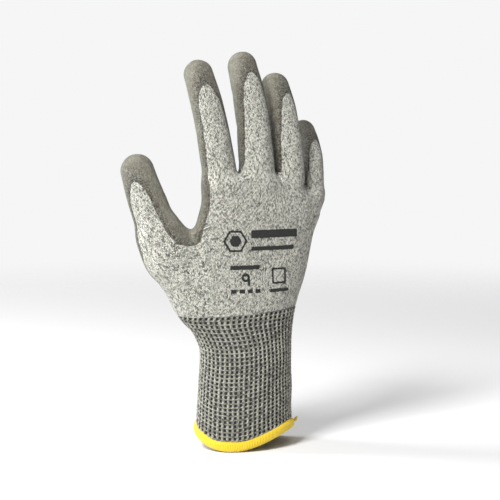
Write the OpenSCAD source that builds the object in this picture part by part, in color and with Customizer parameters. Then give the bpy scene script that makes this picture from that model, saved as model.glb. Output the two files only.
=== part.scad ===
// Cut resistant work glove, right hand, in the relaxed shape that a hand gives it.
// Origin: centre of the wrist opening, in the plane of the hem. +Z runs from the cuff to the
// fingers, +Y points out of the palm, -X is the thumb side. Millimetres.

/* [Cuff] */
// Width of the cuff across the wrist
cuff_w = 63; // [58:1:66]
// Depth of the cuff from the back to the palm side
cuff_d = 46; // [40:1:50]
// Height of the wrist fold above the hem
wrist_z = 80; // [76:1:84]
// Height of the overlocked hem
hem_h = 6.5; // [5:0.5:8]
// Rise and fall of the hem round the cuff
hem_wave = 5; // [0:1:7]
// Number of laid-in elastic yarns
elastic_count = 7; // [4:1:8]

/* [Hand] */
// Width of the hand across the knuckles
palm_w = 84; // [82:1:88]
// Thickness of the hand at the knuckles
palm_d = 27; // [25:1:31]

/* [Fingers] */
// Length of the index finger from its root to its tip
index_len = 74.5; // [71:0.5:79]
// Length of the middle finger
middle_len = 80.5; // [77:0.5:85]
// Length of the ring finger
ring_len = 73; // [69:1:77]
// Length of the little finger
little_len = 56; // [54:1:60]
// Length of the thumb
thumb_len = 55; // [52:1:58]
// Diameter of the index finger at its root; the other digits follow it
finger_d = 21.4; // [20:0.2:21.6]

/* [Fabric] */
// Thickness of the knitted liner
knit_t = 1.2; // [1:0.1:1.5]
// Thickness of the coating film
film_t = 0.4; // [0.3:0.1:0.5]

/* [Hidden] */
DIGITS = ["index", "middle", "ring", "little", "thumb"];

knit_colour = "#b9b9ae";
rib_colour = "#8d8d86";
film_colour = "#76776c";
hem_colour = "#f2d21a";
yarn_colour = "#2b2b2a";

touch = 0.02;          // play between the liner and what is bonded to it
edge_gap = 0.8;        // half the slot between two rigid lengths, at the fold's own line
fold_play = 0.2;       // play between a fold and its neighbours
pivot_shift = 2;       // the fold line lies this far towards the palm
root_rise = 6;         // the fold at a finger's root is this far above the crotch
digit_n = 24;          // points round a digit
oval_n = 40;           // points round the cuff and the hand
bare_half = 60;        // half angle of the uncoated strip on a finger's back, degrees
flexion = [-1, 0, 0];  // hinge axis of the wrist and the fingers: a positive turn curls to +Y

// ---- Vector helpers ----
function unit(v) = v / norm(v);
function mix(a, b, t) = a + (b - a) * t;
function flat(rows) = [for (row = rows) for (p = row) p];
function round_off(v, p) = sign(v) * pow(abs(v), p);

// ---- Faces of the three kinds of skin. Points are stored row after row. ----
function quad(a, b, c, d) = [[a, b, c], [a, c, d]];
function side_faces(rows, cols) = [
    for (r = [0:rows - 2]) for (c = [0:cols - 1])
        each quad(r * cols + c, (r + 1) * cols + c,
                  (r + 1) * cols + (c + 1) % cols, r * cols + (c + 1) % cols)];
// A tube wall: the last row joins the first one again.
module ring_skin(rows) {
    n = len(rows);
    cols = len(rows[0]);
    closing = [for (c = [0:cols - 1])
        each quad((n - 1) * cols + c, c, (c + 1) % cols, (n - 1) * cols + (c + 1) % cols)];
    polyhedron(flat(rows), concat(side_faces(n, cols), closing), convexity = 6);
}
// A closed skin: a fan of triangles from a pole closes each end.
module pole_skin(rows, first_pole, last_pole) {
    n = len(rows);
    cols = len(rows[0]);
    first_fan = [for (c = [0:cols - 1]) [n * cols, c, (c + 1) % cols]];
    last_fan = [for (c = [0:cols - 1])
        [n * cols + 1, (n - 1) * cols + (c + 1) % cols, (n - 1) * cols + c]];
    polyhedron(concat(flat(rows), [first_pole, last_pole]),
               concat(side_faces(n, cols), first_fan, last_fan), convexity = 6);
}
// A film over part of a turn: outer rows upwards, then inner rows downwards. Its inner
// triangles match those of the tube under it.
module film_skin(rows) {
    n = len(rows);
    cols = len(rows[0]);
    sides = [for (r = [0:n - 1]) for (c = [0:cols - 2])
        each quad(((r + 1) % n) * cols + c, ((r + 1) % n) * cols + c + 1,
                  r * cols + c + 1, r * cols + c)];
    ends = [for (r = [0:n / 2 - 2]) each concat(
        quad((r + 1) * cols, r * cols, (n - 1 - r) * cols, (n - 2 - r) * cols),
        quad(r * cols + cols - 1, (r + 1) * cols + cols - 1,
             (n - 2 - r) * cols + cols - 1, (n - 1 - r) * cols + cols - 1))];
    polyhedron(flat(rows), concat(sides, ends), convexity = 6);
}

// ---- Digits ----
// A bone's direction from its lean to the side and its bend towards the palm.
function bone_dir(lean, bend) = [sin(lean), cos(lean) * sin(bend), cos(lean) * cos(bend)];

thumb_base_dir = unit([-0.28, 0.25, 0.93]);
thumb_back = 40;       // the thumb's back is turned this far to the thumb side, degrees
thumb_palm_0 = [sin(thumb_back), cos(thumb_back), 0];
thumb_palm_dir = unit(thumb_palm_0 - (thumb_palm_0 * thumb_base_dir) * thumb_base_dir);
thumb_flexion = cross(thumb_base_dir, thumb_palm_dir);
function thumb_dir(bend) = cos(bend) * thumb_base_dir + sin(bend) * thumb_palm_dir;

// Name, root, lean, bends, length, root radius, fold ranges [back, palm] in degrees.
DIGIT_DATA = [
    ["index", [-16.5, 1, 172], -6.4, [4, 8, 16, 24], index_len, finger_d / 2,
        [[20, 65], [10, 75], [10, 40]]],
    ["middle", [7, -4, 174], 1, [7, 14, 22, 31], middle_len, finger_d * 0.514,
        [[20, 62], [10, 72], [10, 38]]],
    ["ring", [29.7, -2.2, 170], 3, [8, 16, 27, 37], ring_len, finger_d * 0.486,
        [[20, 60], [10, 70], [10, 37]]],
    ["little", [48.7, 4, 160], 10.5, [13, 26, 40, 50], little_len, finger_d * 0.415,
        [[20, 50], [10, 68], [10, 36]]],
    ["thumb", [-53, 9, 133], 0, [-3, 3, 9], thumb_len, finger_d * 0.64,
        [[15, 26], [15, 38]]],
];
finger_taper = [1, 0.985, 0.95, 0.9, 0.83];
thumb_taper = [1, 0.93, 0.84, 0.75];
finger_share = [0.356, 0.356, 0.288];
thumb_share = [0.53, 0.47];

// The tools below read a digit as [points, directions, radii, hinge axis, fold ranges].
function bone_lengths(d) =
    let (thumb = d[0] == "thumb",
         taper = thumb ? thumb_taper : finger_taper,
         share = thumb ? thumb_share : finger_share,
         free = d[4] - d[5] * taper[len(taper) - 1] - root_rise)
    concat([root_rise], free * share);
function walk(p, dirs, lens, k = 0) =
    k == len(lens) ? [p] : concat([p], walk(p + lens[k] * dirs[k], dirs, lens, k + 1));
function digit(i) =
    let (d = DIGIT_DATA[i],
         thumb = d[0] == "thumb",
         dirs = [for (b = d[3]) thumb ? thumb_dir(b) : bone_dir(d[2], b)],
         taper = thumb ? thumb_taper : finger_taper)
    [walk(d[1], dirs, bone_lengths(d)), dirs, d[5] * taper,
     thumb ? thumb_flexion : flexion, d[6]];
D = [for (i = [0:len(DIGIT_DATA) - 1]) digit(i)];

// Point at angle a round bone k, at end 0 or 1, grown outwards. Angle 0 is the digit's back.
function round_bone(d, k, end, a, grow) =
    let (dir = d[1][k],
         palm = unit(cross(d[3], dir)),
         side = cross(palm, dir))
    d[0][k + end] + (d[2][k + end] + grow) * (sin(a) * side - cos(a) * palm);

// A fold's frame: its pivot, and the mean direction and palm direction of its two bones.
function fold_dir(d, j) =
    let (m = d[1][j - 1] + d[1][j]) unit(m - (m * d[3]) * d[3]);
function fold_palm(d, j) = cross(d[3], fold_dir(d, j));
function fold_pivot(d, j) = d[0][j] + pivot_shift * fold_palm(d, j);

// Share of the way from a to b at which the line meets the slot's wall. Up is 1 on the
// bone past the fold and -1 on the bone before it, and the wall slopes away from the fold.
function wall_share(d, j, a, b, toward, half, up) =
    let (wall = toward * cos(half) + up * fold_dir(d, j) * sin(half),
         n = cross(d[3], wall))
    ((fold_pivot(d, j) - a) * n) / ((b - a) * n);
function slot_share(d, j, a, b, up, slack) =
    let (range = d[4][j - 1],
         palm = wall_share(d, j, a, b, fold_palm(d, j), range[1] / 2 + 1, up),
         back = wall_share(d, j, a, b, -fold_palm(d, j), range[0] / 2 + 1, up),
         past = (edge_gap - slack) / norm(b - a))
    up > 0 ? max(palm, back) + past : min(palm, back) - past;

function angles(first, last, n) = [for (i = [0:n]) first + (last - first) * i / n];
function full_turn(n) = [for (i = [0:n - 1]) i * 360 / n];

// The row of points where bone k ends at fold j, or starts at it.
function end_row(d, j, turn, grow, slack = 0) =
    [for (a = turn)
        let (p = round_bone(d, j - 1, 0, a, grow), q = round_bone(d, j - 1, 1, a, grow))
        mix(p, q, slot_share(d, j, p, q, -1, slack))];
function start_row(d, j, turn, grow, slack = 0) =
    [for (a = turn)
        let (p = round_bone(d, j, 0, a, grow), q = round_bone(d, j, 1, a, grow))
        mix(p, q, slot_share(d, j, p, q, 1, slack))];
// Rows over the round tip, from the widest one towards the pole.
tip_steps = [0, 26, 50, 72];
function tip_row(d, turn, grow, rise) =
    let (k = len(d[1]) - 1,
         centre = d[0][k + 1])
    [for (a = turn)
        let (out = round_bone(d, k, 1, a, grow) - centre)
        centre + out * cos(rise) + d[1][k] * norm(out) * sin(rise)];

function tip_up(d, turn, grow) = [for (rise = tip_steps) tip_row(d, turn, grow, rise)];
function tip_down(d, turn, grow) =
    [for (i = [len(tip_steps) - 1:-1:0]) tip_row(d, turn, grow, tip_steps[i])];

module bone_liner(d, k) {
    turn = full_turn(digit_n);
    ring_skin([start_row(d, k, turn, 0), end_row(d, k + 1, turn, 0),
               end_row(d, k + 1, turn, -knit_t), start_row(d, k, turn, -knit_t)]);
}
module fold_liner(d, j) {
    turn = full_turn(digit_n);
    slack = edge_gap - fold_play;
    ring_skin([end_row(d, j, turn, 0, slack), start_row(d, j, turn, 0, slack),
               start_row(d, j, turn, -knit_t, slack), end_row(d, j, turn, -knit_t, slack)]);
}
module tip_liner(d) {
    turn = full_turn(digit_n);
    k = len(d[1]) - 1;
    top = d[0][k + 1] + d[1][k] * d[2][k + 1];
    pole_skin(concat(tip_down(d, turn, -knit_t),
                     [start_row(d, k, turn, -knit_t), start_row(d, k, turn, 0)],
                     tip_up(d, turn, 0)),
              top - d[1][k] * knit_t, top);
}
module bone_coating(d, k) {
    turn = angles(bare_half, 360 - bare_half, 16);
    outer = touch + film_t;
    film_skin([start_row(d, k, turn, outer), end_row(d, k + 1, turn, outer),
               end_row(d, k + 1, turn, touch), start_row(d, k, turn, touch)]);
}
// The film's lower edge on a tip: the fold's slot, or an arch over the uncoated strip.
arch = [0.62, 0.58, 0.46, 0.24];
function film_edge(d, turn, grow) =
    let (k = len(d[1]) - 1)
    [for (a = turn)
        let (off = min(a, 360 - a))
        off >= bare_half
            ? start_row(d, k, [a], grow)[0]
            : mix(round_bone(d, k, 0, a, grow), round_bone(d, k, 1, a, grow),
                  arch[off * digit_n / 360])];
module tip_coating(d) {
    turn = full_turn(digit_n);
    k = len(d[1]) - 1;
    outer = touch + film_t;
    end = d[0][k + 1] + d[1][k] * d[2][k + 1];
    pole_skin(concat(tip_down(d, turn, touch),
                     [film_edge(d, turn, touch), film_edge(d, turn, outer)],
                     tip_up(d, turn, outer)),
              end + d[1][k] * touch, end + d[1][k] * outer);
}

// ---- Ovals of the cuff and the hand: [z, centre x, centre y, half width, half depth, tilt] ----
cuff_a = cuff_w / 2;
cuff_b = cuff_d / 2;
WRIST = [wrist_z, -2, 1.5, cuff_a * 1.12, cuff_b * 0.98, 0];
CUFF = [
    [22, 0, 0, cuff_a * 0.985, cuff_b, 0],
    [58, 1, 0, cuff_a * 0.945, cuff_b * 0.97, 0],
    [64.5, 0.7, 0.2, cuff_a * 0.96, cuff_b * 0.97, 0],
];
half_w = palm_w / 2;
half_d = palm_d / 2;
PALM = [
    [98, 2.4, 0.3, half_w * 0.84, half_d * 1.52, 0],
    [111, 3.8, -0.5, half_w * 0.91, half_d * 1.33, 0],
    [134, 6, -2, half_w * 0.965, half_d * 1.18, 0],
    [153, 10.5, -3, half_w * 0.94, half_d * 1.07, -3],
    [165.5, 11.8, -2.5, half_w, half_d, -7],
    [169, 11.8, -2.5, half_w * 0.93, half_d * 0.75, -7],
];
THENAR = [[-32, 4, 94.5, 15], [-34, 6.5, 108, 17.5], [-46, 8, 121, 16]];
palm_round = 0.86;
wrist_range = [40, 50];

function oval_row(s, grow, turn, power = 1) =
    [for (a = turn)
        [s[1] + (s[3] + grow) * round_off(sin(a), power),
         s[2] - (s[4] + grow) * round_off(cos(a), power),
         s[0] + s[5] * sin(a)]];
// Height of the slot's wall at the wrist, above (up = 1) or below (up = -1) its fold.
function wrist_wall(y, up, slack) =
    wrist_z + up * (edge_gap - slack
        + (y > 0 ? y * tan(wrist_range[1] / 2 + 1) : -y * tan(wrist_range[0] / 2 + 1)));
function wrist_row(grow, turn, up, slack = 0) =
    [for (p = oval_row(WRIST, grow, turn)) [p[0], p[1], wrist_wall(p[1], up, slack)]];
function wave(a) = hem_wave * (1 - cos(2 * (a + 35)));
function hem_row(grow, z) =
    [for (a = full_turn(oval_n))
        [(cuff_a + grow) * sin(a), -(cuff_b + grow) * cos(a), z + wave(a)]];

hem_t = 1.9;
hem_under = 1;
hem_play = 0.15;       // gap under the cuff's edge inside the hem
module rib_cuff() color(rib_colour) {
    turn = full_turn(oval_n);
    outer = concat([hem_row(0, hem_under + hem_play), hem_row(0, hem_h)],
                   [for (s = CUFF) oval_row(s, 0, turn)],
                   [wrist_row(0, turn, -1)]);
    inner = concat([hem_row(-knit_t, hem_under + hem_play), hem_row(-knit_t, hem_h)],
                   [for (s = CUFF) oval_row(s, -knit_t, turn)],
                   [wrist_row(-knit_t, turn, -1)]);
    ring_skin(concat(outer, [for (i = [len(inner) - 1:-1:0]) inner[i]]));
}
module cuff_coating() color(film_colour) {
    turn = angles(99, 261, 18);
    low = [43, 0.58, 0, cuff_a * 0.962, cuff_b * 0.983, 0];
    film_skin([
        oval_row(low, film_t + touch, turn), oval_row(CUFF[1], film_t + touch, turn),
        oval_row(CUFF[2], film_t + touch, turn), wrist_row(film_t + touch, turn, -1),
        wrist_row(touch, turn, -1), oval_row(CUFF[2], touch, turn),
        oval_row(CUFF[1], touch, turn), oval_row(low, touch, turn)]);
}
module cuff_elastic() color(yarn_colour) {
    turn = full_turn(oval_n / 2);
    pitch = 5;
    first_z = 20;
    thick = 0.5;
    for (i = [0:elastic_count - 1]) {
        z = first_z + pitch * i;
        share = max(0, (z - 22) / 36);
        s = [z, share, 0, cuff_a * mix(0.985, 0.945, share), cuff_b * mix(1, 0.97, share), 0];
        out = -knit_t - 0.25;
        higher = concat([z + thick], [for (k = [1:5]) s[k]]);
        ring_skin([oval_row(s, out, turn), oval_row(higher, out, turn),
                   oval_row(higher, out - thick, turn), oval_row(s, out - thick, turn)]);
    }
}
module overlock_hem() color(hem_colour)
    ring_skin([hem_row(hem_t * 0.5, 0), hem_row(hem_t, hem_under), hem_row(hem_t, hem_h - 1),
               hem_row(hem_t * 0.6, hem_h), hem_row(touch, hem_h), hem_row(touch, hem_under),
               hem_row(-knit_t - touch, hem_under), hem_row(-knit_t - touch, hem_h - 1),
               hem_row(-knit_t - 0.8, hem_h - 1), hem_row(-knit_t - 0.8, 0.6),
               hem_row(-knit_t, 0)]);
module hem_tail() color(hem_colour) {
    side = 78;         // angle of the tail round the cuff
    at = [(cuff_a + hem_t) * sin(side), -(cuff_b + hem_t) * cos(side), hem_h - 2 + wave(side)];
    $fn = 16;
    hull() {
        translate(at + [1.35, 0, 0]) sphere(1.1);
        translate(at + [2.6, -0.6, 5]) sphere(0.6);
    }
}
module wrist_rib() color(rib_colour) {
    turn = full_turn(oval_n);
    slack = edge_gap - fold_play;
    ring_skin([wrist_row(0, turn, -1, slack), wrist_row(0, turn, 1, slack),
               wrist_row(-knit_t, turn, 1, slack), wrist_row(-knit_t, turn, -1, slack)]);
}

// ---- The hand between the wrist and the roots of the digits ----
module palm_form(grow, open) {
    turn = full_turn(oval_n);
    wrist = wrist_row(grow, turn, 1);
    rows = concat(open > 0 ? [[for (p = wrist) p - [0, 0, open]]] : [], [wrist],
                  [for (s = PALM) oval_row([s[0] + (s[0] > 160 ? grow : 0),
                                            s[1], s[2], s[3], s[4], s[5]],
                                           grow, turn, s[0] > 100 ? palm_round : 0.94)]);
    last = PALM[len(PALM) - 1];
    pole_skin(rows, [WRIST[1], 0, wrist_z + edge_gap - open], [last[1], last[2], last[0] + grow]);
}
module root_form(d, grow, open) {
    turn = full_turn(digit_n);
    sunk = 12;         // the root's foot is this far inside the hand, and narrower
    foot = [for (a = turn) round_bone(d, 0, 0, a, grow - 0.35 * d[2][0]) - sunk * d[1][0]];
    cut = [for (p = end_row(d, 1, turn, grow)) p + open * d[1][0]];
    full = [for (a = turn) round_bone(d, 0, 0, a, grow) - 4 * d[1][0]];
    pole_skin([foot, full, cut], d[0][0] - sunk * d[1][0],
              fold_pivot(d, 1) + (open - edge_gap) * d[1][0]);
}
module thenar_form(grow) {
    $fn = 24;
    thumb = D[4];
    root_ball = [thumb[0][0][0], thumb[0][0][1], thumb[0][0][2], thumb[2][0]];
    balls = concat(THENAR, [root_ball]);
    for (i = [0:len(balls) - 2])
        hull() for (b = [balls[i], balls[i + 1]])
            translate([b[0], b[1], b[2]]) sphere(b[3] + grow);
}
module hand_form(grow, open = 0) {
    difference() {
        union() {
            palm_form(grow, open);
            thenar_form(grow);
        }
        // The mass of the thumb's root stays clear of the thumb's own fold and of the wrist's.
        thumb_clear();
        if (open == 0) wrist_clear();
    }
    for (d = D) root_form(d, grow, open);
}
// Space above the thumb's root fold, on its own side of the slot.
module thumb_clear() {
    d = D[4];
    turn = full_turn(digit_n);
    wide = 14;
    cut = end_row(d, 1, turn, wide);
    top = [for (p = cut) p + 30 * d[1][0]];
    pole_skin([cut, top], fold_pivot(d, 1) - edge_gap * d[1][0],
              d[0][1] + 30 * d[1][0]);
}
// Space below the wrist's fold.
module wrist_clear() {
    turn = full_turn(oval_n);
    wide = 40;
    wall = wrist_row(wide, turn, 1);
    below = [for (p = wall) p - [0, 0, 60]];
    pole_skin([below, wall], [WRIST[1], 0, wrist_z + edge_gap - 60],
              [WRIST[1], 0, wrist_z + edge_gap]);
}
module hand_liner() color(knit_colour)
    difference() {
        hand_form(0);
        hand_form(-knit_t, 2);
    }
// The film covers the palm side and wraps to just past the edges of the hand.
module palm_coating() color(film_colour)
    intersection() {
        difference() {
            hand_form(film_t + touch);
            hand_form(touch, 2);
        }
        translate([-90, -7.5, wrist_z]) cube([180, 60, 120]);
    }
// Printed marks on the back of the hand, drawn in X and Z: a six-sided badge, two long bars,
// the size numeral between a bar and a row of squares, and a square frame over a bar.
module print_art() {
    line = 1.2;
    badge = [-13.6, 131.3];
    badge_r = 7.6;
    translate(badge) difference() {
        circle(badge_r, $fn = 6);
        circle(badge_r - line, $fn = 6);
    }
    translate(badge) circle(badge_r / 2, $fn = 6);
    translate([-3.4, 133]) square([32.4, 5]);
    translate([-3.4, 125.2]) square([30, 2.6]);
    translate([-17, 113.6]) square([19, 2.6]);
    translate([-7.5, 108.6]) {
        difference() {
            circle(2.6, $fn = 24);
            circle(1.3, $fn = 24);
        }
        translate([1.3, -5]) square([1.3, 5]);
    }
    for (i = [0:3]) translate([-17 + i * 5.2, 99]) square([3.4, 2.4]);
    frame_w = 10;
    translate([10.5, 104]) difference() {
        square(frame_w);
        translate([line, line]) square(frame_w - 2 * line);
    }
    translate([8.5, 99]) square([14, 2]);
}
module size_print() color(yarn_colour)
    intersection() {
        difference() {
            hand_form(0.14);
            hand_form(touch, 2);
        }
        translate([0, -4, 0]) rotate([90, 0, 0]) linear_extrude(30) print_art();
    }

// ---- The digits' pieces by name ----
module digit_part(i, part) {
    d = D[i];
    last = len(d[1]) - 1;
    if (part == "root_fold") color(knit_colour) fold_liner(d, 1);
    if (part == "proximal_liner") color(knit_colour) bone_liner(d, 1);
    if (part == "proximal_coating") color(film_colour) bone_coating(d, 1);
    if (part == "knuckle_fold") color(knit_colour) fold_liner(d, 2);
    if (part == "middle_liner") color(knit_colour) bone_liner(d, 2);
    if (part == "middle_coating") color(film_colour) bone_coating(d, 2);
    if (part == "end_fold") color(knit_colour) fold_liner(d, last);
    if (part == "tip_liner") color(knit_colour) tip_liner(d);
    if (part == "tip_coating") color(film_colour) tip_coating(d);
}
FINGER_PARTS = ["root_fold", "proximal_liner", "proximal_coating", "knuckle_fold",
                "middle_liner", "middle_coating", "end_fold", "tip_liner", "tip_coating"];
THUMB_PARTS = ["root_fold", "proximal_liner", "proximal_coating", "end_fold", "tip_liner",
               "tip_coating"];

rib_cuff();
cuff_coating();
cuff_elastic();
overlock_hem();
hem_tail();
wrist_rib();
hand_liner();
palm_coating();
size_print();
for (i = [0:len(DIGITS) - 1])
    for (part = DIGITS[i] == "thumb" ? THUMB_PARTS : FINGER_PARTS)
        digit_part(i, part);
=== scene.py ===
import math

import bpy
import numpy as np
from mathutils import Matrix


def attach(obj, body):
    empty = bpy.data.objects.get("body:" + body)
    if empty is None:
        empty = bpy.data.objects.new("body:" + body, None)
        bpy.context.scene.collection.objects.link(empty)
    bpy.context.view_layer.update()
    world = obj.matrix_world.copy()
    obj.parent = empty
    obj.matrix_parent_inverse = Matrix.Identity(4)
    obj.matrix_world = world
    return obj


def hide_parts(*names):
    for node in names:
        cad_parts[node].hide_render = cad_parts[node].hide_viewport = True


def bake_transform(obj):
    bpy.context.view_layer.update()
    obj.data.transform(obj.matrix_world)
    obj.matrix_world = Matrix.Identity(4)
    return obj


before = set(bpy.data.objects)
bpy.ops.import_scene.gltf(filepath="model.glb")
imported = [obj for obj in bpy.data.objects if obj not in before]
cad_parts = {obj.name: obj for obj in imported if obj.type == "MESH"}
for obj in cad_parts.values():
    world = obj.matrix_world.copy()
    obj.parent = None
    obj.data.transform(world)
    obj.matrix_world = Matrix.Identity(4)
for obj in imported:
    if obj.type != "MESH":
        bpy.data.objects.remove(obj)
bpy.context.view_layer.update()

# A cut resistant work glove, right hand: a knitted liner with a ribbed cuff, a coating film
# dipped over the palm and fingers, and an overlocked hem. Shapes are worked out in
# millimetres in the frame of the CAD model and turned into metres as each piece is made.
MM = 0.001


# ---- Small maths ----
def unit(v):
    v = np.asarray(v, float)
    return v / np.maximum(np.linalg.norm(v, axis=-1, keepdims=True), 1e-9)


def ramp(x, a, b):
    """0 before a, 1 after b, smooth between them."""
    t = np.clip((x - a) / (b - a), 0, 1)
    return t * t * (3 - 2 * t)


def smin(a, b, k):
    """The lesser of two distances, with the crease between them rounded over k."""
    h = np.maximum(k - np.abs(a - b), 0) / k
    return np.minimum(a, b) - h * h * k / 4


def smax(a, b, k):
    return -smin(-a, -b, k)


def along(x, table):
    """The columns of a table at x, on a smooth curve through its rows."""
    table = np.asarray(table, float)
    xs, ys = table[:, 0], table[:, 1:]
    slopes = np.gradient(ys, xs, axis=0)
    x = np.clip(x, xs[0], xs[-1])
    i = np.clip(np.searchsorted(xs, x) - 1, 0, len(xs) - 2)
    h = (xs[i + 1] - xs[i])[:, None]
    t = ((x - xs[i])[:, None]) / h
    return (ys[i] * (2 * t**3 - 3 * t**2 + 1) + slopes[i] * h * (t**3 - 2 * t**2 + t)
            + ys[i + 1] * (3 * t**2 - 2 * t**3) + slopes[i + 1] * h * (t**3 - t**2))


def waves(p, size, seed, count=10):
    """Smooth noise of about -1 to 1 whose lumps are about size across."""
    rng = np.random.default_rng(seed)
    total = np.zeros(len(p))
    for _ in range(count):
        way = unit(rng.normal(size=3)) * rng.uniform(0.6, 1.4)
        total += np.sin(p @ (way * 2 * math.pi / size) + rng.uniform(0, 2 * math.pi))
    return total / math.sqrt(count)


def bell(d):
    """1 at 0, falling smoothly to almost nothing at 2 on both sides."""
    return np.exp(-d ** 2)


# ---- The digits' bones, as the CAD model has them ----
ROOT_RISE = 6
PIVOT_SHIFT = 2
FINGER_D = 21.4
THUMB_DIR = unit((-0.28, 0.25, 0.93))
THUMB_TURN = math.radians(40)
palm_0 = np.array([math.sin(THUMB_TURN), math.cos(THUMB_TURN), 0])
THUMB_PALM = unit(palm_0 - palm_0 @ THUMB_DIR * THUMB_DIR)


def finger_dir(lean, bend):
    lean, bend = math.radians(lean), math.radians(bend)
    return np.array([math.sin(lean), math.cos(lean) * math.sin(bend),
                     math.cos(lean) * math.cos(bend)])


def thumb_dir(bend):
    bend = math.radians(bend)
    return math.cos(bend) * THUMB_DIR + math.sin(bend) * THUMB_PALM


class Rail:
    """A smooth line through a digit. It gives a place its length along the line, its angle
    round it from the digit's back, and its distance from it."""

    def __init__(self, points, back, zero):
        points = np.asarray(points, float)
        steps = np.linalg.norm(np.diff(points, axis=0), axis=1)
        length = np.concatenate([[0], np.cumsum(steps)])
        pad = 6
        s = np.arange(-pad, length[-1] + pad, 1.0)
        line = np.stack([np.interp(s, length, points[:, k]) for k in range(3)], 1)
        before, after = s < 0, s > length[-1]
        line[before] = points[0] + s[before, None] * unit(points[1] - points[0])
        line[after] = points[-1] + (s[after] - length[-1])[:, None] * unit(points[-1] - points[-2])
        kernel = np.ones(2 * pad + 1) / (2 * pad + 1)
        self.line = np.stack([np.convolve(line[:, k], kernel, "valid") for k in range(3)], 1)
        self.s = s[pad:-pad] - length[zero]
        self.ahead = unit(np.gradient(self.line, axis=0))
        back = np.asarray(back, float)
        self.back = unit(back - (self.ahead @ back)[:, None] * self.ahead)
        self.side = np.cross(self.ahead, self.back)
        self.length = length[-1] - length[zero]

    def coords(self, p, chunk=40000):
        if len(p) > chunk:
            parts = [self.coords(p[i:i + chunk]) for i in range(0, len(p), chunk)]
            return tuple(np.concatenate(values) for values in zip(*parts))
        dots = p @ self.ahead.T - (self.line * self.ahead).sum(1)
        k = np.clip((dots > 0).sum(1) - 1, 0, len(self.s) - 2)
        rows = np.arange(len(p))
        t = dots[rows, k] / np.maximum(dots[rows, k] - dots[rows, k + 1], 1e-6)
        inner = np.clip(t, 0, 1)[:, None]
        centre = self.line[k] * (1 - inner) + self.line[k + 1] * inner
        q = p - centre
        angle = np.arctan2((q * self.side[k]).sum(1), (q * self.back[k]).sum(1))
        ahead = (q * self.ahead[k]).sum(1)[:, None] * self.ahead[k]
        return self.s[k] + t * (self.s[1] - self.s[0]), angle, np.linalg.norm(q - ahead, axis=1)


class Digit:
    """The bones of a finger or the thumb, and the smooth line through them."""

    def __init__(self, name, root, dirs, length, radius, taper, share, axis, back, lead_in):
        self.name, self.dirs, self.axis = name, dirs, axis
        self.radii = radius * np.array(taper)
        free = length - self.radii[-1] - ROOT_RISE
        self.lengths = [ROOT_RISE] + [free * part for part in share]
        points = [np.array(root, float)]
        for way, size in zip(dirs, self.lengths):
            points.append(points[-1] + way * size)
        self.points = np.array(points)
        self.rail = Rail(np.concatenate([lead_in, self.points]), back, len(lead_in))

    def fold(self, j):
        """Pivot of joint j and the way the finger runs through it."""
        mean = self.dirs[j - 1] + self.dirs[j]
        ahead = unit(mean - mean @ self.axis * self.axis)
        return self.points[j] + PIVOT_SHIFT * np.cross(self.axis, ahead), ahead


def finger(name, root, lean, bends, length, radius):
    dirs = [finger_dir(lean, b) for b in bends]
    lead_in = [np.array(root) - 14 * dirs[0]]
    return Digit(name, root, dirs, length, radius, (1, 0.985, 0.95, 0.9, 0.83),
                 (0.356, 0.356, 0.288), np.array([-1.0, 0, 0]), (0, -1, 0), lead_in)


THENAR = np.array([[-32, 4, 94.5], [-34, 6.5, 108], [-46, 8, 121]], float)
THENAR_R = [15, 17.5, 16]
thumb_back_angle = math.radians(-6)
THUMB_BACK = (-0.64 * math.cos(thumb_back_angle) + 0.77 * math.sin(thumb_back_angle),
              -0.64 * math.sin(thumb_back_angle) - 0.77 * math.cos(thumb_back_angle), 0)
FINGERS = [
    finger("index", (-16.5, 1, 172), -6.4, (4, 8, 16, 24), 74.5, FINGER_D / 2),
    finger("middle", (7, -4, 174), 1, (7, 14, 22, 31), 80.5, FINGER_D * 0.514),
    finger("ring", (29.7, -2.2, 170), 3, (8, 16, 27, 37), 73, FINGER_D * 0.486),
    finger("little", (48.7, 4, 160), 10.5, (13, 26, 40, 50), 56, FINGER_D * 0.415),
]
THUMB = Digit("thumb", (-53, 9, 133), [thumb_dir(b) for b in (-3, 3, 9)], 55, FINGER_D * 0.64,
              (1, 0.93, 0.84, 0.75), (0.53, 0.47), np.cross(THUMB_DIR, THUMB_PALM),
              THUMB_BACK, np.concatenate([[[-28, 3, 76]], THENAR]))
DIGITS = FINGERS + [THUMB]

# ---- The hand's surface, as a distance field ----
# Height, middle x, middle y, half width, half depth, roundness of the hand's outline.
PALM = [
    (56, 1, 0, 29.8, 22.3, 2), (64.5, 0.7, 0.2, 30.2, 22.3, 2), (72, -0.5, 0.9, 32.2, 22.4, 2),
    (80, -2, 1.5, 35.3, 22.5, 2), (86, -1, 1.2, 35.4, 22.2, 2.05), (92, 1, 0.6, 35.2, 21.3, 2.1),
    (111, 3.8, -0.5, 38.2, 18, 2.3), (134, 6, -2, 40.5, 15.9, 2.33),
    (153, 10.5, -3, 39.5, 14.4, 2.35), (165.5, 11.8, -2.5, 42, 13.5, 2.4),
]
# The height of the crotches across the hand, and how far the knuckle row tilts with height.
CAP = [(-30, 171), (-5, 171.5), (18, 170.5), (40, 160.5), (55, 155)]
TILT = [(120, 0), (134, 0), (153, 3), (165.5, 7), (185, 7)]


def palm_place(p):
    """How far across and through the hand a point is, in half widths, and those sizes."""
    height = p[:, 2] + along(p[:, 2], TILT)[:, 0] * (p[:, 0] - 12) / 42
    xc, yc, a, b, n = along(height, PALM).T
    return (p[:, 0] - xc) / a, (p[:, 1] - yc) / b, a, b, n


def palm_field(p):
    u, v, a, b, n = palm_place(p)
    u, v = np.abs(u) + 1e-6, np.abs(v) + 1e-6
    r = (u**n + v**n) ** (1 / n)
    slope = r ** (1 - n) * np.hypot(u ** (n - 1) / a, v ** (n - 1) / b)
    return smax((r - 1) / slope, p[:, 2] - along(p[:, 0], CAP)[:, 0], 8)


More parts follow.
